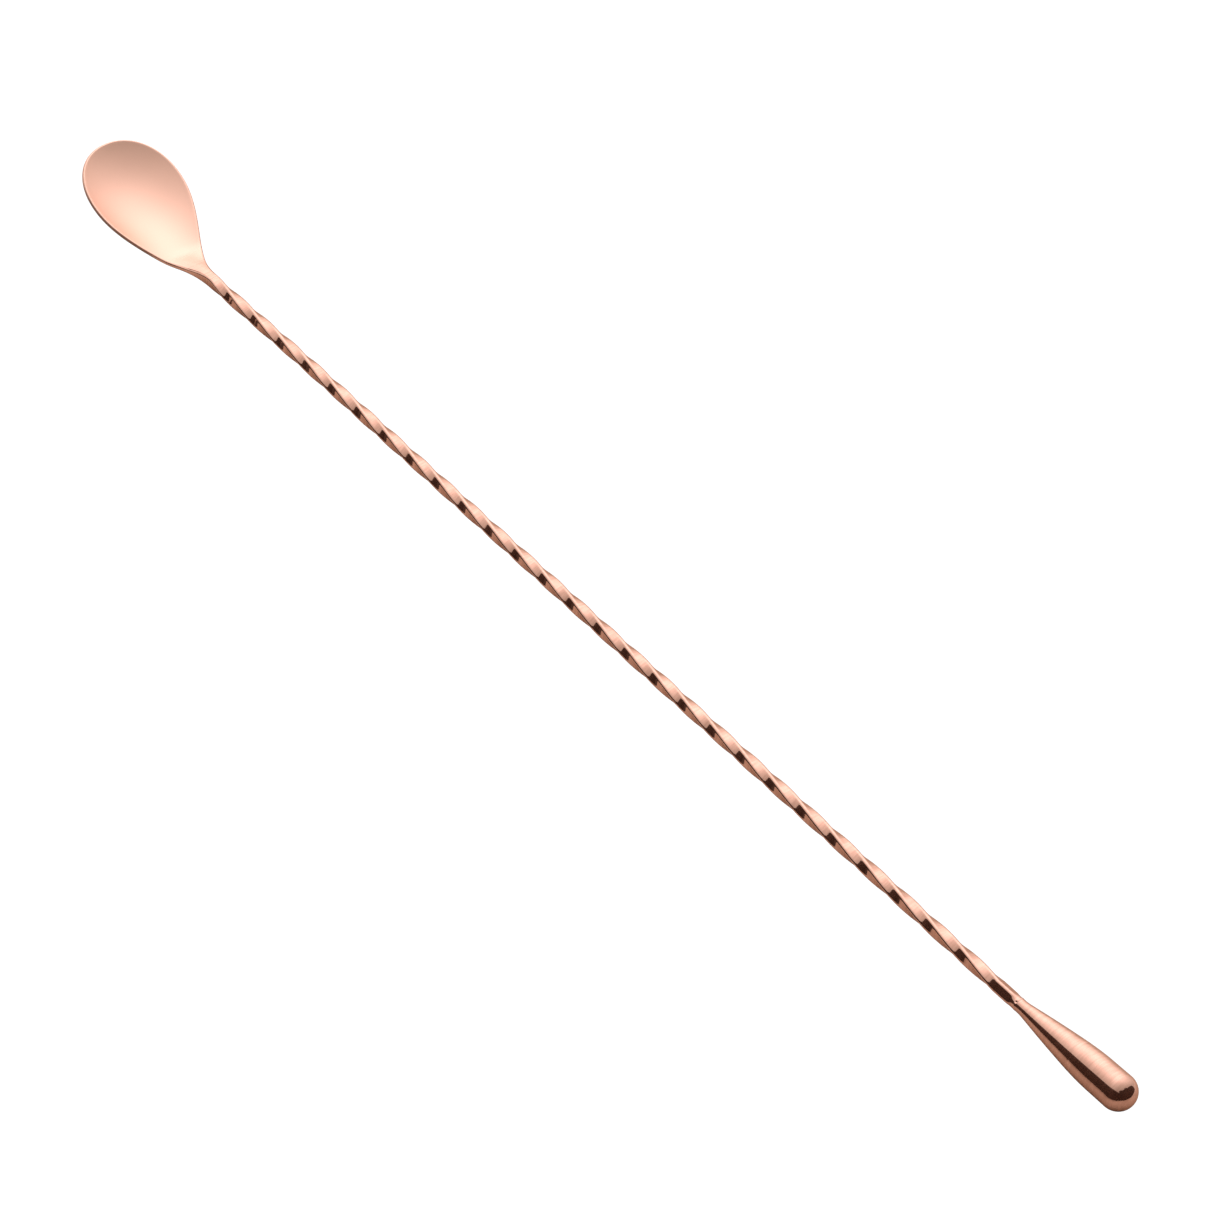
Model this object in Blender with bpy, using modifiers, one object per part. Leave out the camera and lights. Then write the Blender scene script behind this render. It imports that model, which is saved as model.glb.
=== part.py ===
"""Bar spoon: a pressed bowl, a twisted square stem and a turned teardrop weight, joined by two welds.

The spoon lies on z = 0 with its bowl facing up. X runs along the stem, from the bowl's tip at -X to
the weight's end at +X. The origin is below the middle of the whole length. Every piece is made with
the stem's axis level, and at the end the spoon is settled onto its belly.
"""

from math import cos, hypot, pi, sin, sqrt, tan

import bmesh
import bpy
from mathutils import Matrix, Vector

MM = 0.001

# Whole spoon
LENGTH = 400 * MM
END_X = LENGTH / 2
GAP = 0.05 * MM  # play between two joined pieces

# Turned weight
WEIGHT_RADIUS = 4.4 * MM
BARREL_RADIUS = 4.22 * MM  # where the flare ends
BARREL_LENGTH = 9.8 * MM
FLARE_LENGTH = 20.4 * MM
FLARE_SLOPE = 0.157
COLLAR_RADIUS = 1.6 * MM
COLLAR_LENGTH = 1.6 * MM
SOCKET_DEPTH = 8.2 * MM
WEIGHT_LENGTH = COLLAR_LENGTH + FLARE_LENGTH + BARREL_LENGTH + WEIGHT_RADIUS
COLLAR_X = END_X - WEIGHT_LENGTH
AXIS_Z = WEIGHT_RADIUS

# Stem, drawn square bar
BAR = 2.94 * MM
BAR_CORNER = 0.66 * MM
WELD = 0.8 * MM  # length of each weld along the stem
STEM_START_X = -149.5 * MM
STEM_END_X = COLLAR_X - WELD - 2 * GAP
TENON_RADIUS = 1.0 * MM
TENON_LENGTH = WELD + 8 * MM

# Twist
TWIST_START_X = -149.8 * MM
TWIST_END_X = 156.5 * MM
TURNS = 6.895
EASE = 0.026  # how much looser the twist is towards its ends
TWIST_STEP = 15  # degrees between two rows of points

# The stem sinks a little where it reaches the bowl
SAG = 0.69 * MM
SAG_START_X = -105 * MM
SAG_END_X = -150 * MM

# Bowl blank, measured along its middle line from the tip
RIM_REACH = 0.38 * MM  # how far the rim's thickness reaches past the blank's middle surface at the tip
TIP_X = RIM_REACH - LENGTH / 2
NOSE = 16 * MM
TAPER = 37.5 * MM
HALF_WIDTH = 12.9 * MM
ROUNDNESS = 2.12  # exponent of the nose's rounded outline
BLANK_LENGTH = NOSE + TAPER
PITCH = 22.2 * pi / 180  # how far the bowl is bent up
NECK_PITCH = 1.8 * pi / 180  # how far the neck runs down from the stem towards the bowl
BEND_ROUNDING = 0.45 * MM  # how far the bend stays off the corner between bowl and neck
TANG_X = STEM_START_X - WELD - 2 * GAP
TIP_RISE = 13.1 * MM  # tip above the stem's axis
CURVATURE = 24.0  # 1/m, half the curvature across the bowl
TIGHTENING = 0.4  # how fast that curvature grows as the bowl narrows towards the neck
RUN_OUT = 42 * MM  # from here on the hollow runs out into the tang
GAUGE = 1.0 * MM  # sheet thickness
SPINE_START = 22 * MM  # from here on the metal thickens along the middle line
EDGE_START = 43 * MM  # and from here on at its edges too, up to the tang's full bar
RIM_ROUNDING = 0.3 * MM

SETTLE = 0.275 * pi / 180  # tilt about the weight's round end that lets the bowl's belly touch z = 0

# Fineness
NOSE_COLUMNS = 20
SIDE_COLUMNS = 20
RINGS = 10
TURNED_STEPS = 32


def smoothstep(value):
    value = min(max(value, 0), 1)
    return value * value * (3 - 2 * value)


# ---------------------------------------------------------------- scene


def clear_scene():
    for obj in list(bpy.data.objects):
        bpy.data.objects.remove(obj)


def new_collection(name):
    collection = bpy.data.collections.new(name)
    bpy.context.scene.collection.children.link(collection)
    return collection


def add_object(name, data, collection):
    obj = bpy.data.objects.new(name, data)
    collection.objects.link(obj)
    return obj


def hide_helper(obj):
    obj.hide_render = True
    obj.display_type = "WIRE"
    return obj


def metal(name, colour, roughness):
    material = bpy.data.materials.new(name)
    material.use_nodes = True
    shader = material.node_tree.nodes["Principled BSDF"]
    shader.inputs["Base Color"].default_value = (*colour, 1)
    shader.inputs["Metallic"].default_value = 1.0
    shader.inputs["Roughness"].default_value = roughness
    return material


def shade(mesh, degrees=35):
    mesh.shade_smooth()
    mesh.set_sharp_from_angle(angle=degrees * pi / 180)


# ---------------------------------------------------------------- bowl


def half_width(along):
    """Half of the blank's width at this distance from the tip."""
    if along < NOSE:
        nose = 1 - max(along, 0) / NOSE
        return HALF_WIDTH * (1 - nose**ROUNDNESS) ** (1 / ROUNDNESS)
    taper = min((along - NOSE) / TAPER, 1)
    return BAR / 2 + (HALF_WIDTH - BAR / 2) * (1 + cos(pi * taper)) / 2


def middle_line(along):
    """Point and upward normal of the blank's middle line: two straight runs with a rounded bend."""
    x = TIP_X + (TANG_X - TIP_X) * along / BLANK_LENGTH
    bowl_z = AXIS_Z + TIP_RISE - (x - TIP_X) * tan(PITCH)
    neck_z = AXIS_Z - SAG - (TANG_X - x) * tan(NECK_PITCH)
    spread = hypot((bowl_z - neck_z) / 2, BEND_ROUNDING)
    z = (bowl_z + neck_z) / 2 + spread
    slope = (tan(NECK_PITCH) - tan(PITCH)) / 2
    slope -= (tan(NECK_PITCH) + tan(PITCH)) / 2 * (bowl_z - neck_z) / 2 / spread
    return Vector((x, 0, z)), Vector((-slope, 0, 1)).normalized()


def bowl_point(along, across):
    """Point of the blank's middle surface after it is pressed."""
    width = half_width(along)
    curvature = CURVATURE * (1 - smoothstep((along - RUN_OUT) / (BLANK_LENGTH - RUN_OUT)))
    if along > NOSE:
        curvature *= (HALF_WIDTH / width) ** TIGHTENING
    point, normal = middle_line(along)
    return point + Vector((0, across, 0)) - normal * curvature * (width**2 - across**2)


def gauge(along, across):
    """Metal thickness: sheet at the bowl, bar at the tang, thickening first along the middle line."""
    spine = smoothstep((along - SPINE_START) / (BLANK_LENGTH - SPINE_START))
    edge = smoothstep((along - EDGE_START) / (BLANK_LENGTH - EDGE_START))
    towards_middle = 1 - (across / max(half_width(along), BAR / 2)) ** 2
    return GAUGE + (BAR - GAUGE) * (edge + (spine - edge) * towards_middle)


def blank_position(column, ring):
    """Distance from the tip and across, for a grid that follows one side, the nose and the other side."""
    outward = ring / RINGS
    from_nose = column - SIDE_COLUMNS
    if 0 <= from_nose <= NOSE_COLUMNS:
        turn = pi * (0.5 - from_nose / NOSE_COLUMNS)
        powers = (abs(cos(turn)) / NOSE) ** ROUNDNESS + (abs(sin(turn)) / HALF_WIDTH) ** ROUNDNESS
        reach = outward * powers ** (-1 / ROUNDNESS)
        return NOSE - reach * cos(turn), reach * sin(turn)
    side = 1 if from_nose < 0 else -1
    steps = -from_nose if side > 0 else from_nose - NOSE_COLUMNS
    along = NOSE + TAPER * steps / SIDE_COLUMNS
    return along, side * outward * half_width(along)


def make_bowl(collection, material):
    """The pressed blank: an open sheet with the metal's thickness added on both sides."""
    columns = 2 * SIDE_COLUMNS + NOSE_COLUMNS
    mesh = bpy.data.meshes.new("bowl")
    bm = bmesh.new()
    deform = bm.verts.layers.deform.verify()
    bmesh.ops.create_grid(bm, x_segments=columns, y_segments=RINGS, size=1)
    for vert in bm.verts:
        column = round((vert.co.x + 1) / 2 * columns)
        ring = round((vert.co.y + 1) / 2 * RINGS)
        along, across = blank_position(column, ring)
        vert.co = bowl_point(along, across)
        vert[deform][0] = gauge(along, across) / BAR
    bmesh.ops.remove_doubles(bm, verts=bm.verts, dist=0.001 * MM)
    bmesh.ops.recalc_face_normals(bm, faces=bm.faces)
    bm.to_mesh(mesh)
    bm.free()
    mesh.materials.append(material)
    bowl = add_object("bowl", mesh, collection)
    bowl.vertex_groups.new(name="gauge")

    thick = bowl.modifiers.new("Sheet thickness", "SOLIDIFY")
    thick.thickness = BAR
    thick.offset = 0
    thick.vertex_group = "gauge"

    rounding = bowl.modifiers.new("Rim rounding", "BEVEL")
    rounding.width = RIM_ROUNDING
    rounding.segments = 2
    rounding.limit_method = "ANGLE"
    rounding.angle_limit = pi / 3
    shade(mesh)
    return bowl


def cut_rest_flat(bowl, cutters):
    """The underside is ground flat where the bowl rests on the bar top."""
    size = 60 * MM
    bpy.ops.mesh.primitive_cube_add(size=size, location=(TIP_X + size / 2, 0, -size / 2))
    block = hide_helper(bpy.context.object)
    block.name = "rest_plane"
    for owner in list(block.users_collection):
        owner.objects.unlink(block)
    cutters.objects.link(block)
    cut = bowl.modifiers.new("Rest flat", "BOOLEAN")
    cut.operation = "DIFFERENCE"
    cut.solver = "EXACT"
    cut.object = block


# ---------------------------------------------------------------- stem


def stem_height(x):
    return AXIS_Z - SAG * smoothstep((x - SAG_START_X) / (SAG_END_X - SAG_START_X))


def twist_angle(x):
    """Turn of the square section about the stem, zero where a face looks straight up."""
    x = min(max(x, TWIST_START_X), TWIST_END_X)
    centre = (TWIST_START_X + TWIST_END_X) / 2
    v = (x - centre) / (TWIST_END_X - centre)
    return pi * TURNS * (v + EASE * (v - v**3) + 1)


def bar_section(cutters):
    """Closed outline of the drawn bar, a square with rounded corners."""
    outline = bpy.data.curves.new("bar_section", "CURVE")
    outline.dimensions = "2D"
    outline.fill_mode = "NONE"
    spline = outline.splines.new("POLY")
    spline.use_cyclic_u = True
    steps = 3
    spline.points.add(4 * steps - 1)
    inset = BAR / 2 - BAR_CORNER
    for index in range(4 * steps):
        corner, step = divmod(index, steps)
        middle = Vector((inset * sqrt(2), 0)) @ Matrix.Rotation(-pi / 4 - corner * pi / 2, 2)
        turn = pi / 2 * (corner + step / (steps - 1))
        point = middle + BAR_CORNER * Vector((cos(turn), sin(turn)))
        spline.points[index].co = (*point, 0, 1)
    return hide_helper(add_object("bar_section", outline, cutters))


def bar_along(name, stations, section, collection, swell=1.0):
    """A closed bar through these x positions, twisted as the stem is."""
    curve = bpy.data.curves.new(name, "CURVE")
    curve.dimensions = "3D"
    curve.twist_mode = "Z_UP"
    curve.bevel_mode = "OBJECT"
    curve.bevel_object = section
    curve.use_fill_caps = True
    spline = curve.splines.new("POLY")
    spline.points.add(len(stations) - 1)
    for point, x in zip(spline.points, stations):
        point.co = (x, 0, stem_height(x), 1)
        point.tilt = twist_angle(x)
        point.radius = swell
    return add_object(name, curve, collection)


def closed_mesh(obj, collection):
    """The curve object as a mesh object of the same name, with its end caps joined on."""
    graph = bpy.context.evaluated_depsgraph_get()
    mesh = bpy.data.meshes.new_from_object(obj.evaluated_get(graph))
    name, matrix = obj.name, obj.matrix_world.copy()
    bpy.data.objects.remove(obj)
    bm = bmesh.new()
    bm.from_mesh(mesh)
    bmesh.ops.remove_doubles(bm, verts=bm.verts, dist=0.001 * MM)
    bmesh.ops.recalc_face_normals(bm, faces=bm.faces)
    bm.to_mesh(mesh)
    bm.free()
    mesh.name = name
    solid = add_object(name, mesh, collection)
    solid.matrix_world = matrix
    return solid


def stem_stations():
    """Positions along the stem, evenly spaced within the twist."""
    count = round(TURNS * 360 / TWIST_STEP)
    twisted = [TWIST_START_X + (TWIST_END_X - TWIST_START_X) * i / count for i in range(count + 1)]
    return [*[x for x in twisted if x > STEM_START_X + BAR / 20], STEM_END_X]


def make_stem(collection, cutters, section, material):
    curve = bar_along("twisted_stem", [STEM_START_X, *stem_stations()], section, collection)
    stem = closed_mesh(curve, collection)
    stem.data.materials.append(material)
    shade(stem.data)

    bpy.ops.mesh.primitive_cylinder_add(
        vertices=TURNED_STEPS,
        radius=TENON_RADIUS,
        depth=TENON_LENGTH + BAR,
        location=(STEM_END_X + (TENON_LENGTH - BAR) / 2, 0, AXIS_Z),
        rotation=(0, pi / 2, 0),
    )
    tenon = hide_helper(bpy.context.object)
    tenon.name = "tenon"
    for owner in list(tenon.users_collection):
        owner.objects.unlink(tenon)
    cutters.objects.link(tenon)
    union = stem.modifiers.new("Tenon", "BOOLEAN")
    union.operation = "UNION"
    union.solver = "EXACT"
    union.object = tenon
    return stem


def make_bowl_weld(collection, section, material):
    """Weld metal between the tang and the stem, dressed nearly flush."""
    stations = [TANG_X + GAP, STEM_START_X - GAP]
    weld = closed_mesh(bar_along("bowl_weld", stations, section, collection, 1.03), collection)
    weld.data.materials.append(material)
    shade(weld.data)
    return weld


# ---------------------------------------------------------------- turned pieces


def turned(name, profile, x, collection, material):
    """Revolves (radius, height) points, given from the +X end inwards, about the stem's axis."""
    mesh = bpy.data.meshes.new(name)
    verts = [(radius, 0, height) for radius, height in profile]
    closed = profile[0][0] > 0
    edges = [(i, i + 1) for i in range(len(verts) - 1)] + ([(len(verts) - 1, 0)] if closed else [])
    mesh.from_pydata(verts, edges, [])
    mesh.materials.append(material)
    obj = add_object(name, mesh, collection)
    obj.location = (x, 0, AXIS_Z)
    obj.rotation_euler = (0, pi / 2, 0)
    screw = obj.modifiers.new("Turning", "SCREW")
    screw.axis = "Z"
    screw.steps = TURNED_STEPS
    screw.render_steps = TURNED_STEPS
    screw.use_merge_vertices = True
    screw.merge_threshold = 0.001 * MM
    screw.use_smooth_shade = True
    return obj


def flare_radius(distance):
    """Radius of the weight at this distance past its collar: a cone that swells slightly."""
    swell = (COLLAR_RADIUS + FLARE_SLOPE * FLARE_LENGTH - BARREL_RADIUS) / FLARE_LENGTH**2
    return COLLAR_RADIUS + FLARE_SLOPE * distance - swell * distance**2


def make_weight(collection, material):
    """Teardrop weight: a round end, a barrel, a long flare and a collar with a blind socket."""
    round_steps, flare_steps = 8, 10
    centre = WEIGHT_LENGTH - WEIGHT_RADIUS
    profile = [
        (WEIGHT_RADIUS * sin(pi / 2 * i / round_steps), centre + WEIGHT_RADIUS * cos(pi / 2 * i / round_steps))
        for i in range(round_steps + 1)
    ]
    for i in range(flare_steps, -1, -1):
        distance = FLARE_LENGTH * i / flare_steps
        profile.append((flare_radius(distance), COLLAR_LENGTH + distance))
    socket_radius = TENON_RADIUS + GAP
    profile += [
        (COLLAR_RADIUS, 0),
        (socket_radius, 0),
        (socket_radius, SOCKET_DEPTH),
        (0, SOCKET_DEPTH),
    ]
    return turned("teardrop_weight", profile, COLLAR_X, collection, material)


def make_weight_weld(collection, material):
    """Bead of weld metal round the tenon, between the stem's shoulder and the collar."""
    inner = TENON_RADIUS + GAP
    outer = COLLAR_RADIUS
    bulge = 0.08 * MM
    profile = [(outer, WELD), (outer + bulge, WELD / 2), (outer, 0), (inner, 0), (inner, WELD)]
    return turned("weight_weld", profile, STEM_END_X + GAP, collection, material)


# ---------------------------------------------------------------- assembly


def settle(pieces):
    """Tilts the spoon about the centre of the weight's round end."""
    bpy.context.view_layer.update()
    centre = Matrix.Translation((END_X - WEIGHT_RADIUS, 0, AXIS_Z))
    tilt = centre @ Matrix.Rotation(-SETTLE, 4, "Y") @ centre.inverted()
    for piece in pieces:
        piece.matrix_world = tilt @ piece.matrix_world


def main():
    clear_scene()
    parts = new_collection("bar_spoon")
    cutters = new_collection("cutters")
    satin = metal("satin copper plate", (0.80, 0.47, 0.35), 0.34)
    stem_plate = metal("polished copper plate, stem", (0.84, 0.50, 0.37), 0.16)
    weight_plate = metal("polished copper plate, weight", (0.84, 0.50, 0.37), 0.14)
    weld_plate = metal("plated weld", (0.72, 0.40, 0.29), 0.35)

    section = bar_section(cutters)
    cut_rest_flat(make_bowl(parts, satin), cutters)
    make_bowl_weld(parts, section, weld_plate)
    make_stem(parts, cutters, section, stem_plate)
    make_weight_weld(parts, weld_plate)
    make_weight(parts, weight_plate)
    settle((*parts.objects, cutters.objects["tenon"]))


main()
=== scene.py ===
"""Looks of the bar spoon: fine meshes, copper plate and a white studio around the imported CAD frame.

The spoon lies along X with its bowl at -X, facing up. Lengths are in metres.
"""

from math import cos, hypot, pi, radians, sin, tan

import bmesh
import bpy
from mathutils import Matrix, Vector, noise


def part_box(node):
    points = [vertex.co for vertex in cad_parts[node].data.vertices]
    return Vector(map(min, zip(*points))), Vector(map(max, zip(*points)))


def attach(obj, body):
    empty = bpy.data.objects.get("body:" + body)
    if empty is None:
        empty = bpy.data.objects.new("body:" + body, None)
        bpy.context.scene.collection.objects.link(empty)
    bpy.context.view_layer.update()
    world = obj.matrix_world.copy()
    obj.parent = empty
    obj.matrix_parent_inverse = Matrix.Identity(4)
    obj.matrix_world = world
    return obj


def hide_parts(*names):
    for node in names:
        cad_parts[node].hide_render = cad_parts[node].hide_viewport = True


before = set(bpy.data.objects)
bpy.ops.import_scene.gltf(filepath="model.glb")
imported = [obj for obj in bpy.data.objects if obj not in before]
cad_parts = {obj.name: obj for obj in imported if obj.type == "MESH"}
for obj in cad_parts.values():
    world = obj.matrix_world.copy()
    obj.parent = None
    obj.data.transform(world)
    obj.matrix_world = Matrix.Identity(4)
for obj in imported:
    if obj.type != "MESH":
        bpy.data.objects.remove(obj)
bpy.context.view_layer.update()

MM = 0.001
TOUCHING = 0.001 * MM  # points closer than this are one point

# Places along the spoon, from the low and high corners of the frame's nodes
PLAY = 0.05 * MM  # the gap that the CAD leaves on each side of a weld
RIM_REACH = 0.38 * MM  # how far the rim's thickness reaches past the blank's middle surface at the tip
bowl_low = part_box("bowl")[0]
tang_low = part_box("bowl_weld")[0]
stem_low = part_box("twisted_stem")[0]
bead_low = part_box("weight_weld")[0]
weight_low, weight_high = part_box("teardrop_weight")
AXIS_Z = (weight_low.z + weight_high.z) / 2
END_X = weight_high.x
COLLAR_X = weight_low.x
WEIGHT_RADIUS = (weight_high.z - weight_low.z) / 2
STEM_START_X = stem_low.x
STEM_END_X = bead_low.x - PLAY
TANG_X = tang_low.x - PLAY
TIP_X = bowl_low.x + RIM_REACH

# Stem
BAR = 2.94 * MM
BAR_CORNER = 0.66 * MM
TWIST_START_X = STEM_START_X - 0.3 * MM
TWIST_END_X = STEM_END_X - 6.4 * MM  # the bar is untwisted from here to the weight
TURNS = 6.895  # full turns from one end of the twist to the other
EASE = 0.026  # share by which the twist is tighter at its middle; its ends are looser by twice that
SAG = 0.69 * MM  # drop of the stem towards the bowl
SAG_START_X = -105 * MM
SAG_END_X = -150 * MM
END_ROUNDING = 2.2 * MM  # the bar becomes a round one over this length beside the weight

# Weld bead at the weight
BEAD_BULGE = 0.07 * MM
BEAD_RIPPLE = 0.025 * MM
RIPPLES_ROUND, RIPPLES_ALONG = 3, 2  # noise cells per radian round the bead and per mm along it
PIT = Vector((STEM_END_X + 0.45 * MM, -0.9 * MM, AXIS_Z + 1.4 * MM))  # centre of the pit left in it
PIT_SIZE, PIT_DEPTH = 0.22 * MM, 0.16 * MM

# Bowl. Its blank is laid out flat, with lengths counted from the tip
NOSE = 16 * MM
TAPER = 37.5 * MM
HALF_WIDTH = 12.9 * MM
ROUNDNESS = 2.12  # power of the nose's outline; 2 would make it half an ellipse
BLANK_LENGTH = NOSE + TAPER
PITCH = radians(22.2)  # slope down from the tip
NECK_PITCH = radians(1.8)  # slope up to the tang
BEND_ROUNDING = 0.45 * MM
TIP_RISE = 13.1 * MM
CURVATURE = 24.0  # half the hollow's curvature across the widest place, per metre
TIGHTENING = 0.4  # power of the narrowing by which the curvature grows past the nose
RUN_OUT = 42 * MM  # the hollow fades out from here to the tang
GAUGE = 1.0 * MM
SPINE_START = 22 * MM  # the metal thickens from here along the middle line
EDGE_START = 43 * MM  # and from here along the edges
RIM_CORNER = 0.3 * MM
SATIN_END_X = -175 * MM  # the satin finish and the bowl's painted light give way to polish between these two
POLISH_START_X = -150 * MM

# Weight, as distances past the collar's face
FLARE_START = 1.2 * MM
FLARE_ROUNDING = 0.9 * MM
FLARE_SLOPE = 0.154
FLARE_EASING = 1.27  # half of the slope that the flare loses per metre
SHOULDER = 19.5 * MM  # the cone ends here and the barrel starts
SHOULDER_RUN = 6.5 * MM  # part of the barrel's swell eases out over this length
EARLY_SWELL = 0.7  # that part's share; the rest is even along the barrel
GROOVE_HALF, GROOVE_DEPTH = 0.2 * MM, 0.04 * MM  # the line that turning left at the shoulder
LEAN = 0.014  # slope of the weight's axis towards +Y
COLLAR_RADIUS = 1.6 * MM

# Everything is made with the stem's axis level, then tilted about the centre of the weight's
# round end until the bowl's belly meets the floor
SETTLE = radians(0.275)
END_CENTRE = Matrix.Translation((END_X - WEIGHT_RADIUS, 0, AXIS_Z))
SETTLED = END_CENTRE @ Matrix.Rotation(-SETTLE, 4, "Y") @ END_CENTRE.inverted()

# Fineness
SHARP_ANGLE = radians(40)  # edges that turn more than this stay sharp
SIDE_COLUMNS = 56
NOSE_COLUMNS = 72
RINGS = 34
CORNER_STEPS = 6
FLAT_STEPS = 6
TWIST_STEP = 3.0  # degrees between two rows of the stem
STRAIGHT_STEPS = 40  # rows of the stem past its twist
TANG_WELD_STEPS = 6
BEAD_STEPS = 16
AROUND = 160  # facets round the weight and its bead
CONE_STEPS, BARREL_STEPS, END_STEPS = 60, 40, 32

# Copper plate. Colours and roughnesses come in pairs, for low and high values of its unevenness
MARKS_SHARE, CLOUDS_SHARE = 0.6, 0.4  # how much fine marks and wide clouds add to the unevenness
# painted light: the satin colours are the plate's copper, painted lighter than the polished ones
SATIN_COLOURS_WITH_PAINTED_LIGHT = (0.97, 0.53, 0.368), (1.0, 0.56, 0.398)
POLISHED_COLOURS = (0.63, 0.315, 0.212), (0.80, 0.415, 0.285)
POLISHED_STREAKS = 0.38, 0.62  # the polished colours change between these values of it
WORN_COLOUR = (0.90, 0.56, 0.42)
WORN_START, WORN_END = 0.5, 0.62  # pointiness of edges where wear starts and where it is full
MOST_WORN = 0.5  # share of the worn colour on a fully worn edge
EDGE_TINT = (0.84, 0.72, 0.63, 1)  # of reflections seen at a glancing angle
SATIN_ROUGHNESS = 0.37, 0.44
POLISHED_ROUGHNESS = 0.06, 0.12
BLASTED_GRAIN = (3200, 3200, 3200)  # cycles per metre along X, Y and Z
GROUND_GRAIN = (1800, 240, 240)
CLOUDS = (170, 260, 260)
BLASTED_DEPTH, GROUND_DEPTH = 0.0004 * MM, 0.012 * MM  # how deep the bumps are

# Light
LIGHT_DIRECTION = 235, 42  # azimuth and elevation, as for towards()
KEY_STRENGTH, KEY_FADE = 1.10, 4.6  # the fade is how quickly each light dies away from its middle
FILL_STRENGTH, FILL_FADE = 1.08, 0.75
KEY_COLOUR, FILL_COLOUR = (0.90, 0.96, 1.19), (0.91, 0.98, 1.04)
WHITE = 1.1  # strength of the floor and background that the camera sees
FLOOR_PAINTED_SHADE_TONES = (  # y in mm and colour, from in front of the spoon to behind it: painted shade, darkening in front of the spoon and lighter behind it
    (-70, (0.10, 0.06, 0.045)),
    (-14, (0.70, 0.57, 0.48)),
    (4, (0.70, 0.57, 0.48)),
    (40, (0.95, 0.90, 0.85)),
)
FLOOR_REACH = 3.0  # from the middle to each edge
CARD_COLOUR, CARD_ROUGHNESS = (0.055, 0.026, 0.016, 1), 0.9
FLAG_FOOT = 0.5 * MM  # the black cards are this far off the floor
BOWL_CARD = ((-210, -24, -2), (-167, -24, -2))  # x, y in front and y at the back, in mm
STEM_CARD = ((-150, -52, -6.5), (-100, -52, -10), (0, -52, -14), (118, -52, -18))
FRONT_FLAG = ((-400, -177, 85), (130, -54, 54), (235, -30, 44))  # x, y and height, in mm
END_FLAG = (
    (235, -30, 60), (235, -12, 57), (235, -9, 52), (235, 6, 54), (235, 9, 59),
    (235, 24, 57), (235, 27, 50), (235, 45, 53), (235, 90, 45),
)

# Camera
AZIMUTH, ELEVATION = 52.783, 42.832
DISTANCE = 1.2228
AIM = Vector((7.23 * MM, 5.577 * MM, AXIS_Z))
LENS, SENSOR = 153.24, 36  # in mm


def smoothstep(value):
    value = min(max(value, 0), 1)
    return value * value * (3 - 2 * value)


def blend(a, b, share):
    return a + (b - a) * share


# ---------------------------------------------------------------- meshes


def mapped_grid(name, columns, rows, place):
    """A closed mesh: a grid of cells whose corners go where place(column, row) says, worn flat
    where it meets the floor."""
    bm = bmesh.new()
    bmesh.ops.create_grid(bm, x_segments=columns, y_segments=rows, size=1)
    for vert in bm.verts:
        column = round((vert.co.x + 1) / 2 * columns)
        row = round((vert.co.y + 1) / 2 * rows)
        vert.co = SETTLED @ place(column, row)
        vert.co.z = max(vert.co.z, 0)
    bmesh.ops.remove_doubles(bm, verts=bm.verts, dist=TOUCHING)
    bmesh.ops.holes_fill(bm, edges=bm.edges)
    bmesh.ops.recalc_face_normals(bm, faces=bm.faces)
    mesh = bpy.data.meshes.new(name)
    bm.to_mesh(mesh)
    bm.free()
    mesh.shade_smooth()
    mesh.set_sharp_from_angle(angle=SHARP_ANGLE)
    obj = bpy.data.objects.new(name, mesh)
    bpy.context.scene.collection.objects.link(obj)
    return obj


def finish_piece(obj, material, slot, *nodes):
    obj.data.materials.append(material)
    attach(obj, "root")
    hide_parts(*nodes)


# ---------------------------------------------------------------- bowl


def half_width(along):
    """Half of the blank's width at this distance from the tip."""
    if along < NOSE:
        nose = 1 - max(along, 0) / NOSE
        return HALF_WIDTH * (1 - nose**ROUNDNESS) ** (1 / ROUNDNESS)
    taper = min((along - NOSE) / TAPER, 1)
    return BAR / 2 + (HALF_WIDTH - BAR / 2) * (1 + cos(pi * taper)) / 2


def middle_line(along):
    """Point and upward normal of the blank's middle line: two straight runs with a rounded bend."""
    x = blend(TIP_X, TANG_X, along / BLANK_LENGTH)
    bowl_z = AXIS_Z + TIP_RISE - (x - TIP_X) * tan(PITCH)
    neck_z = AXIS_Z - SAG - (TANG_X - x) * tan(NECK_PITCH)
    spread = hypot((bowl_z - neck_z) / 2, BEND_ROUNDING)
    z = (bowl_z + neck_z) / 2 + spread
    slope = (tan(NECK_PITCH) - tan(PITCH)) / 2
    slope -= (tan(NECK_PITCH) + tan(PITCH)) / 2 * (bowl_z - neck_z) / 2 / spread
    return Vector((x, 0, z)), Vector((-slope, 0, 1)).normalized()


def bowl_point(along, across):
    """Point of the blank's middle surface after it is pressed."""
    width = half_width(along)
    curvature = CURVATURE * (1 - smoothstep((along - RUN_OUT) / (BLANK_LENGTH - RUN_OUT)))
    if along > NOSE:
        curvature *= (HALF_WIDTH / width) ** TIGHTENING
    point, normal = middle_line(along)
    return point + Vector((0, across, 0)) - normal * curvature * (width**2 - across**2)


def bowl_normal(along, across):
    step = 0.02 * MM
    run = bowl_point(along + step, across) - bowl_point(along - step, across)
    side = bowl_point(along, across + step) - bowl_point(along, across - step)
    return run.cross(side).normalized()


def gauge(along, across):
    """Metal thickness: sheet at the bowl, bar at the tang, thickening first along the middle line."""
    spine = smoothstep((along - SPINE_START) / (BLANK_LENGTH - SPINE_START))
    edge = smoothstep((along - EDGE_START) / (BLANK_LENGTH - EDGE_START))
    towards_middle = 1 - (across / max(half_width(along), BAR / 2)) ** 2
    return blend(GAUGE, BAR, edge + (spine - edge) * towards_middle)


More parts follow.
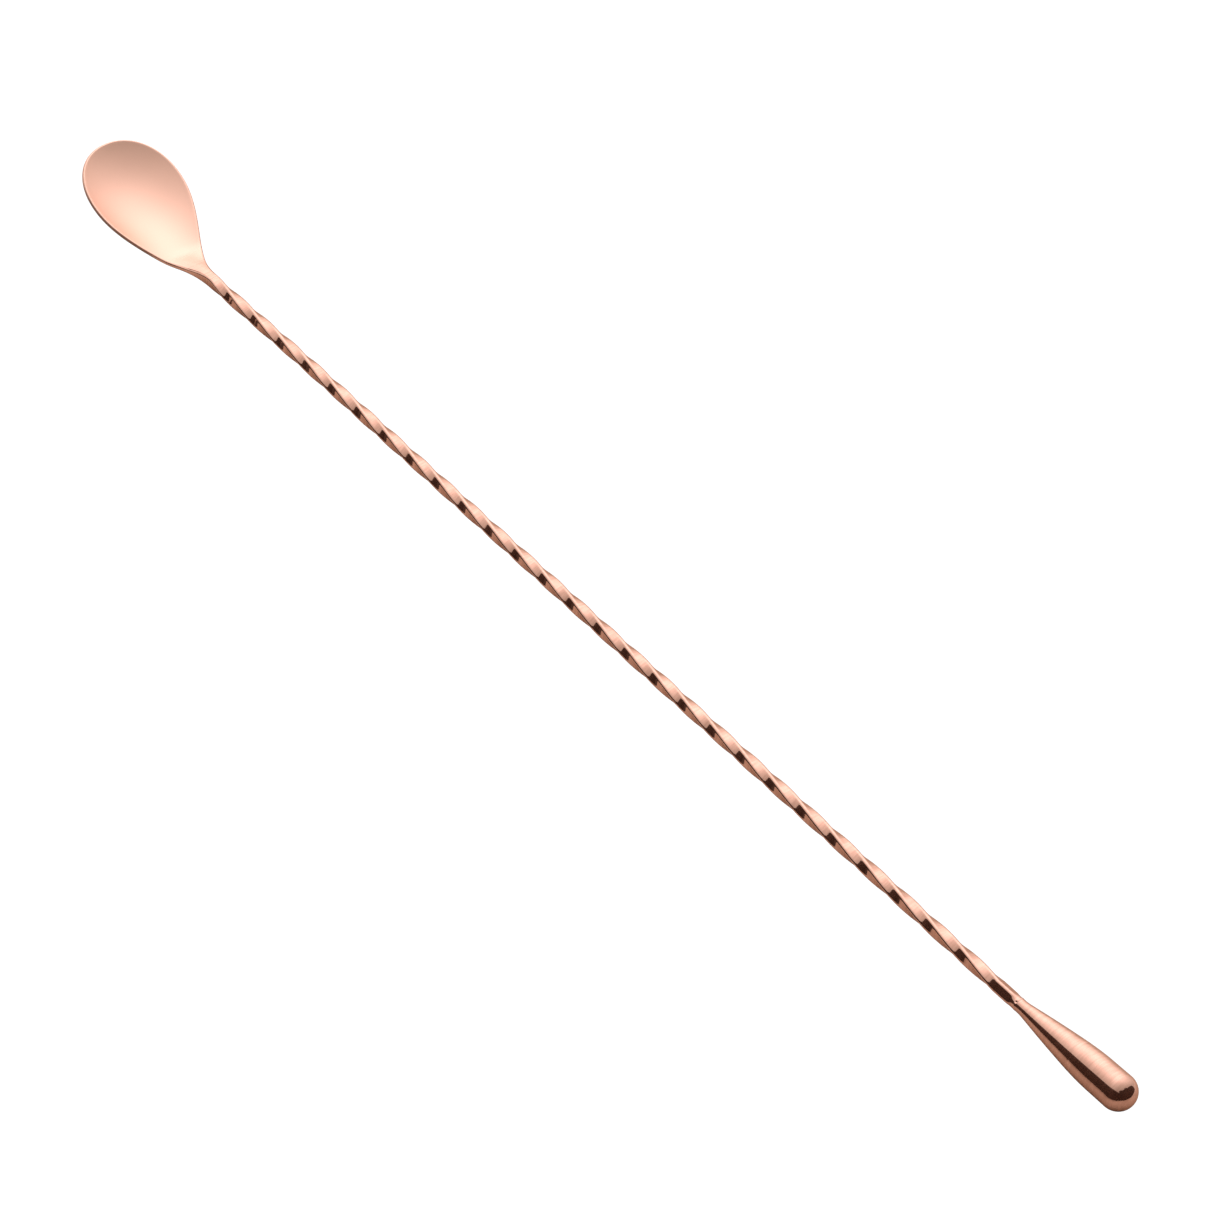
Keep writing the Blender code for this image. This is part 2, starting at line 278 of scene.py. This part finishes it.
def outline_place(column):
    """Start on the middle line and end on the outline of one line of the grid. In the nose the
    lines fan out from one point."""
    from_nose = column - SIDE_COLUMNS
    if 0 <= from_nose <= NOSE_COLUMNS:
        turn = pi * (0.5 - from_nose / NOSE_COLUMNS)
        powers = (abs(cos(turn)) / NOSE) ** ROUNDNESS + (abs(sin(turn)) / HALF_WIDTH) ** ROUNDNESS
        reach = powers ** (-1 / ROUNDNESS)
        return Vector((NOSE, 0)), Vector((NOSE - reach * cos(turn), reach * sin(turn)))
    side = 1 if from_nose < 0 else -1
    steps = -from_nose if side > 0 else from_nose - NOSE_COLUMNS
    along = NOSE + TAPER * steps / SIDE_COLUMNS
    return Vector((along, 0)), Vector((along, side * half_width(along)))


def bowl_place(column, row):
    """Rows run over the top from the middle line to the rim, round it, and back underneath."""
    middle, outline = outline_place(column)
    side = 1
    if row > RINGS + CORNER_STEPS:
        side = -1
        row = 2 * (RINGS + CORNER_STEPS) + 1 - row
    edge_gauge = gauge(*outline)
    corner = blend(RIM_CORNER, BAR_CORNER, (edge_gauge - GAUGE) / (BAR - GAUGE))
    inside = corner / (outline - middle).length
    if row <= RINGS:
        outward, drop = (1 - inside) * row / RINGS, 0
    else:
        turn = pi / 2 * (row - RINGS) / CORNER_STEPS
        outward, drop = 1 - inside * (1 - sin(turn)), corner * (1 - cos(turn))
    along, across = middle.lerp(outline, outward)
    thickness = edge_gauge if row > RINGS else gauge(along, across)
    return bowl_point(along, across) + bowl_normal(along, across) * side * (thickness / 2 - drop)


def make_bowl():
    rows = 2 * (RINGS + CORNER_STEPS) + 1
    return mapped_grid("spoon_bowl", 2 * SIDE_COLUMNS + NOSE_COLUMNS, rows, bowl_place)


# ---------------------------------------------------------------- stem and welds


def stem_height(x):
    return AXIS_Z - SAG * smoothstep((x - SAG_START_X) / (SAG_END_X - SAG_START_X))


def twist_angle(x):
    """Turn of the square section about the stem, zero where a face looks straight up."""
    x = min(max(x, TWIST_START_X), TWIST_END_X)
    centre = (TWIST_START_X + TWIST_END_X) / 2
    v = (x - centre) / (TWIST_END_X - centre)
    return pi * TURNS * (v + EASE * (v - v**3) + 1)


def bar_outline():
    """Points round the drawn bar, a square with rounded corners."""
    inset = BAR / 2 - BAR_CORNER
    points = []
    for quarter in range(4):
        turned = Matrix.Rotation(quarter * pi / 2, 2)
        for step in range(CORNER_STEPS + 1):
            turn = pi / 2 * step / CORNER_STEPS
            corner = Vector((inset, inset)) + BAR_CORNER * Vector((cos(turn), sin(turn)))
            points.append(turned @ corner)
        for step in range(1, FLAT_STEPS):
            across = inset * (1 - 2 * step / FLAT_STEPS)
            points.append(turned @ Vector((across, BAR / 2)))
    return points


def bar_place(x, point, roundness=0.0):
    """A point of the bar's outline at x. Roundness 1 makes the section the collar's circle."""
    point = point.lerp(point.normalized() * COLLAR_RADIUS, roundness)
    point = Matrix.Rotation(twist_angle(x), 2) @ point
    return Vector((x, point.x, stem_height(x) + point.y))


def make_stem():
    outline = bar_outline()
    count = round(TURNS * 360 / TWIST_STEP)
    stations = [blend(TWIST_START_X, TWIST_END_X, i / count) for i in range(count + 1)]
    stations = [STEM_START_X, *[x for x in stations if x > STEM_START_X + TOUCHING]]
    straight = range(1, STRAIGHT_STEPS + 1)
    stations += [blend(TWIST_END_X, STEM_END_X, i / STRAIGHT_STEPS) for i in straight]

    def place(column, row):
        x = stations[column]
        roundness = smoothstep((x - STEM_END_X + END_ROUNDING) / END_ROUNDING)
        return bar_place(x, outline[row % len(outline)], roundness)

    return mapped_grid("stem", len(stations) - 1, len(outline), place)


def make_tang_weld():
    outline = bar_outline()

    def place(column, row):
        x = blend(TANG_X, STEM_START_X, column / TANG_WELD_STEPS)
        return bar_place(x, outline[row % len(outline)])

    return mapped_grid("tang_weld", TANG_WELD_STEPS, len(outline), place)


def make_weight_weld():
    """The rippled bead between the stem and the collar, with a small pit left in it."""

    def place(column, row):
        share = column / BEAD_STEPS
        x = blend(STEM_END_X, COLLAR_X, share)
        turn = 2 * pi * row / AROUND
        outward = Vector((0, cos(turn), sin(turn)))
        ripple = BEAD_RIPPLE * noise.noise(outward * RIPPLES_ROUND + Vector((x / MM, 0, 0)) * RIPPLES_ALONG)
        radius = COLLAR_RADIUS + (BEAD_BULGE + ripple) * sin(pi * share)
        point = Vector((x, 0, AXIS_Z)) + outward * radius
        away = (point - PIT).length / PIT_SIZE
        return point - outward * PIT_DEPTH / (1 + away**4)

    return mapped_grid("weight_bead", BEAD_STEPS, AROUND, place)


# ---------------------------------------------------------------- weight


def weight_radius(distance):
    """Radius of the turned weight at this distance past the collar's face, up to its round end."""
    past = distance - FLARE_START
    risen = (past + hypot(past, FLARE_ROUNDING)) / 2
    return COLLAR_RADIUS + FLARE_SLOPE * risen - FLARE_EASING * risen**2


def weight_profile():
    """Distance past the collar's face and radius, along the cone, the barrel and the round end."""
    barrel_end = END_X - COLLAR_X - WEIGHT_RADIUS
    shoulder_radius = weight_radius(SHOULDER)
    profile = []
    for i in range(CONE_STEPS + 1):
        distance = (SHOULDER - GROOVE_HALF) * i / CONE_STEPS
        profile.append((distance, weight_radius(distance)))
    profile.append((SHOULDER, shoulder_radius - GROOVE_DEPTH))
    profile.append((SHOULDER + GROOVE_HALF, shoulder_radius))
    for i in range(1, BARREL_STEPS + 1):
        share = i / BARREL_STEPS
        distance = blend(SHOULDER + GROOVE_HALF, barrel_end, share)
        early = 1 - (1 - min(share * (barrel_end - SHOULDER) / SHOULDER_RUN, 1)) ** 2
        swell = blend(share, early, EARLY_SWELL)
        profile.append((distance, blend(shoulder_radius, WEIGHT_RADIUS, swell)))
    for i in range(1, END_STEPS + 1):
        turn = pi / 2 * i / END_STEPS
        profile.append((barrel_end + WEIGHT_RADIUS * sin(turn), WEIGHT_RADIUS * cos(turn)))
    return profile


def make_weight():
    profile = weight_profile()

    def place(column, row):
        distance, radius = profile[column]
        turn = 2 * pi * row / AROUND
        centre = Vector((COLLAR_X + distance, LEAN * distance, AXIS_Z))
        return centre + radius * Vector((0, cos(turn), sin(turn)))

    return mapped_grid("weight", len(profile) - 1, AROUND, place)


# ---------------------------------------------------------------- materials


class Nodes:
    """Short calls that add and join shader nodes in one tree."""

    def __init__(self, tree):
        self.tree = tree

    def add(self, kind, inputs=(), **settings):
        """A node of that kind. inputs are (socket name or index, value or socket to join)."""
        node = self.tree.nodes.new(kind)
        for setting, value in settings.items():
            setattr(node, setting, value)
        for socket, value in inputs:
            if isinstance(value, bpy.types.NodeSocket):
                self.tree.links.new(value, node.inputs[socket])
            else:
                node.inputs[socket].default_value = value
        return node

    def math(self, operation, *values):
        return self.add("ShaderNodeMath", enumerate(values), operation=operation).outputs[0]

    def scaled(self, scale):
        """Object coordinates, stretched along each axis."""
        place = self.add("ShaderNodeTexCoord").outputs["Object"]
        return self.add("ShaderNodeMapping", [("Vector", place), ("Scale", scale)]).outputs[0]

    def noise(self, scale):
        """Noise from 0 to 1. scale is in cycles per metre along X, Y and Z."""
        inputs = [("Vector", self.scaled(scale)), ("Scale", 1.0), ("Detail", 3.0), ("Roughness", 0.55)]
        return self.add("ShaderNodeTexNoise", inputs).outputs["Fac"]

    def ranged(self, value, low, high, start=0.25, end=0.75):
        """low where the value is at start, high where it is at end, and in between in step."""
        inputs = [("Value", value), ("From Min", start), ("From Max", end)]
        inputs += [("To Min", low), ("To Max", high)]
        return self.add("ShaderNodeMapRange", inputs).outputs[0]

    def along(self, axis, start, end, interpolation="SMOOTHSTEP"):
        """0 before start and 1 past end along one of the object's axes, in metres."""
        place = self.add("ShaderNodeTexCoord").outputs["Object"]
        distance = self.add("ShaderNodeSeparateXYZ", [("Vector", place)]).outputs[axis]
        inputs = [("Value", distance), ("From Min", start), ("From Max", end)]
        return self.add("ShaderNodeMapRange", inputs, interpolation_type=interpolation).outputs[0]

    def mixed(self, share, first, second):
        inputs = [("Factor", share), (2, first), (3, second)]
        return self.add("ShaderNodeMix", inputs, data_type="FLOAT").outputs[0]

    def tint(self, share, first, second):
        """A mix of two colours, each one three numbers or a socket."""
        first, second = (c if isinstance(c, bpy.types.NodeSocket) else (*c, 1) for c in (first, second))
        inputs = [("Factor", share), (6, first), (7, second)]
        return self.add("ShaderNodeMix", inputs, data_type="RGBA").outputs[2]


def copper_plate():
    """Copper plate: satin on the bowl, painted lighter than the stem and weight as painted light, and
    polished with grinding marks across the stem and weight.
    """
    material = bpy.data.materials.new("copper_plate")
    material.use_nodes = True
    nodes = Nodes(material.node_tree)
    shader = material.node_tree.nodes["Principled BSDF"]
    shader.inputs["Metallic"].default_value = 1.0
    shader.inputs["Specular Tint"].default_value = EDGE_TINT

    # share of polish along X; as it rises, it also takes away the bowl's painted light
    polish_and_painted_light_fade = nodes.along("X", SATIN_END_X, POLISH_START_X)
    marks = nodes.mixed(polish_and_painted_light_fade, nodes.noise(BLASTED_GRAIN), nodes.noise(GROUND_GRAIN))
    clouds = nodes.noise(CLOUDS)
    fine = nodes.math("MULTIPLY", marks, MARKS_SHARE)
    wide = nodes.math("MULTIPLY", clouds, CLOUDS_SHARE)
    uneven = nodes.math("ADD", fine, wide)
    pointiness = nodes.add("ShaderNodeNewGeometry").outputs["Pointiness"]
    worn = nodes.ranged(pointiness, 0, MOST_WORN, WORN_START, WORN_END)

    # painted light on the bowl: its copper colour, lighter than the polished colours
    satin_with_painted_light = nodes.tint(nodes.ranged(uneven, 0, 1), *SATIN_COLOURS_WITH_PAINTED_LIGHT)
    bright = nodes.tint(nodes.ranged(uneven, 0, 1, *POLISHED_STREAKS), *POLISHED_COLOURS)
    colour = nodes.tint(worn, nodes.tint(polish_and_painted_light_fade, satin_with_painted_light, bright), WORN_COLOUR)

    satin_roughness = nodes.ranged(uneven, *SATIN_ROUGHNESS)
    polished_roughness = nodes.ranged(uneven, *POLISHED_ROUGHNESS)
    roughness = nodes.mixed(polish_and_painted_light_fade, satin_roughness, polished_roughness)
    depth = nodes.mixed(polish_and_painted_light_fade, BLASTED_DEPTH, GROUND_DEPTH)
    bump_inputs = [("Height", marks), ("Distance", depth), ("Strength", 1.0)]
    bump = nodes.add("ShaderNodeBump", bump_inputs).outputs[0]
    for socket, value in (("Base Color", colour), ("Roughness", roughness), ("Normal", bump)):
        material.node_tree.links.new(value, shader.inputs[socket])
    return material


# ---------------------------------------------------------------- stage


def towards(azimuth, elevation):
    """Unit vector. Azimuth is in degrees from -Y towards +X, elevation in degrees above the floor."""
    azimuth, elevation = radians(azimuth), radians(elevation)
    return Vector((sin(azimuth) * cos(elevation), -cos(azimuth) * cos(elevation), sin(elevation)))


def make_studio_light():
    """A soft dome, brightest behind the spoon on its left: a wide fill with a key light in it."""
    world = bpy.data.worlds.new("studio")
    world.use_nodes = True
    bpy.context.scene.world = world
    nodes = Nodes(world.node_tree)
    direction = nodes.add("ShaderNodeTexCoord").outputs["Generated"]
    inputs = [(0, direction), (1, towards(*LIGHT_DIRECTION))]
    facing = nodes.add("ShaderNodeVectorMath", inputs, operation="DOT_PRODUCT").outputs["Value"]
    off_middle = nodes.math("SUBTRACT", facing, 1.0)

    def faded(strength, fade):
        """A light that dies away from the middle."""
        share = nodes.math("EXPONENT", nodes.math("MULTIPLY", off_middle, fade))
        return nodes.math("MULTIPLY", share, strength)

    key = faded(KEY_STRENGTH, KEY_FADE)
    studio = nodes.math("ADD", key, faded(FILL_STRENGTH, FILL_FADE))
    colour = nodes.tint(nodes.math("DIVIDE", key, studio), FILL_COLOUR, KEY_COLOUR)
    seen = nodes.add("ShaderNodeLightPath").outputs["Is Camera Ray"]
    strength = nodes.mixed(seen, studio, WHITE)
    background = world.node_tree.nodes["Background"]
    world.node_tree.links.new(colour, background.inputs["Color"])
    world.node_tree.links.new(strength, background.inputs["Strength"])


def stage_strip(name, foot, top, material, foot_height=0.0):
    """Faces between two lines of points, the first level at foot_height."""
    bm = bmesh.new()
    foot = [bm.verts.new((*point, foot_height)) for point in foot]
    top = [bm.verts.new(point) for point in top]
    for i in range(len(top) - 1):
        bm.faces.new((foot[i], foot[i + 1], top[i + 1], top[i]))
    mesh = bpy.data.meshes.new(name)
    bm.to_mesh(mesh)
    bm.free()
    mesh.materials.append(material)
    obj = bpy.data.objects.new(name, mesh)
    bpy.context.scene.collection.objects.link(obj)
    return obj


def make_floor():
    """A pale floor that the camera sees as white paper, and the metal as a table in soft light,
    with painted shade: its colour is darker in front of the spoon than behind it."""
    material = bpy.data.materials.new("white_table")
    material.use_nodes = True
    nodes = Nodes(material.node_tree)
    material.node_tree.nodes.remove(material.node_tree.nodes["Principled BSDF"])
    start, end = FLOOR_PAINTED_SHADE_TONES[0][0], FLOOR_PAINTED_SHADE_TONES[-1][0]
    across = nodes.along("Y", start * MM, end * MM, "LINEAR")
    # painted shade: the table's colour darkens in front of the spoon and lightens behind it
    painted_shade_tones = nodes.add("ShaderNodeValToRGB", [("Fac", across)])
    stops = painted_shade_tones.color_ramp.elements
    while len(stops) < len(FLOOR_PAINTED_SHADE_TONES):
        stops.new(1)
    for stop, (place, colour) in zip(stops, FLOOR_PAINTED_SHADE_TONES):
        stop.position = (place - start) / (end - start)
        stop.color = (*colour, 1)
    table = nodes.add("ShaderNodeBsdfDiffuse", [("Color", painted_shade_tones.outputs[0])]).outputs[0]
    paper = nodes.add("ShaderNodeEmission", [("Color", (1, 1, 1, 1)), ("Strength", WHITE)]).outputs[0]
    seen = nodes.add("ShaderNodeLightPath").outputs["Is Camera Ray"]
    mixed = nodes.add("ShaderNodeMixShader", [(0, seen), (1, table), (2, paper)]).outputs[0]
    surface = material.node_tree.nodes["Material Output"].inputs["Surface"]
    material.node_tree.links.new(mixed, surface)
    reach = FLOOR_REACH
    front, back = [(-reach, -reach), (reach, -reach)], [(-reach, reach, 0), (reach, reach, 0)]
    stage_strip("floor", front, back, material)


def hide_card(card):
    """Keeps the card out of the camera's view and takes its shadow away."""
    card.visible_camera = False
    card.visible_shadow = False


def make_flags():
    """Upright black cards in front of the spoon and past its weight, and flat ones just above the
    floor, in front of the stem and partly under the bowl. Their reflections draw the metal's edges."""
    material = bpy.data.materials.new("black_card")
    material.use_nodes = True
    shader = material.node_tree.nodes["Principled BSDF"]
    shader.inputs["Base Color"].default_value = CARD_COLOUR
    shader.inputs["Roughness"].default_value = CARD_ROUGHNESS
    for name, outline in (("front_flag", FRONT_FLAG), ("end_flag", END_FLAG)):
        top = [Vector(point) * MM for point in outline]
        hide_card(stage_strip(name, [point.xy for point in top], top, material, FLAG_FOOT))
    for name, outline in (("bowl_card", BOWL_CARD), ("stem_card", STEM_CARD)):
        near = [(x * MM, front * MM) for x, front, back in outline]
        far = [(x * MM, back * MM, FLAG_FOOT) for x, front, back in outline]
        hide_card(stage_strip(name, near, far, material, FLAG_FOOT))


def make_camera():
    """A long lens looking down at the spoon across its length."""
    away = towards(AZIMUTH, ELEVATION)
    data = bpy.data.cameras.new("camera")
    data.sensor_width = SENSOR
    data.lens = LENS
    data.clip_start, data.clip_end = 0.05, 50
    camera = bpy.data.objects.new("camera", data)
    turned = (-away).to_track_quat("-Z", "Y").to_matrix().to_4x4()
    camera.matrix_world = SETTLED @ Matrix.Translation(AIM + away * DISTANCE) @ turned
    bpy.context.scene.collection.objects.link(camera)
    bpy.context.scene.camera = camera


def main():
    plate = copper_plate()
    finish_piece(make_bowl(), plate, "satin_copper_plate", "bowl")
    finish_piece(make_tang_weld(), plate, "plated_weld", "bowl_weld")
    finish_piece(make_stem(), plate, "polished_copper_plate_stem", "twisted_stem")
    finish_piece(make_weight_weld(), plate, "plated_weld", "weight_weld")
    finish_piece(make_weight(), plate, "polished_copper_plate_weight", "teardrop_weight")
    make_camera()
    make_studio_light()
    make_floor()
    make_flags()
    bpy.context.scene.view_settings.view_transform = "Standard"


main()
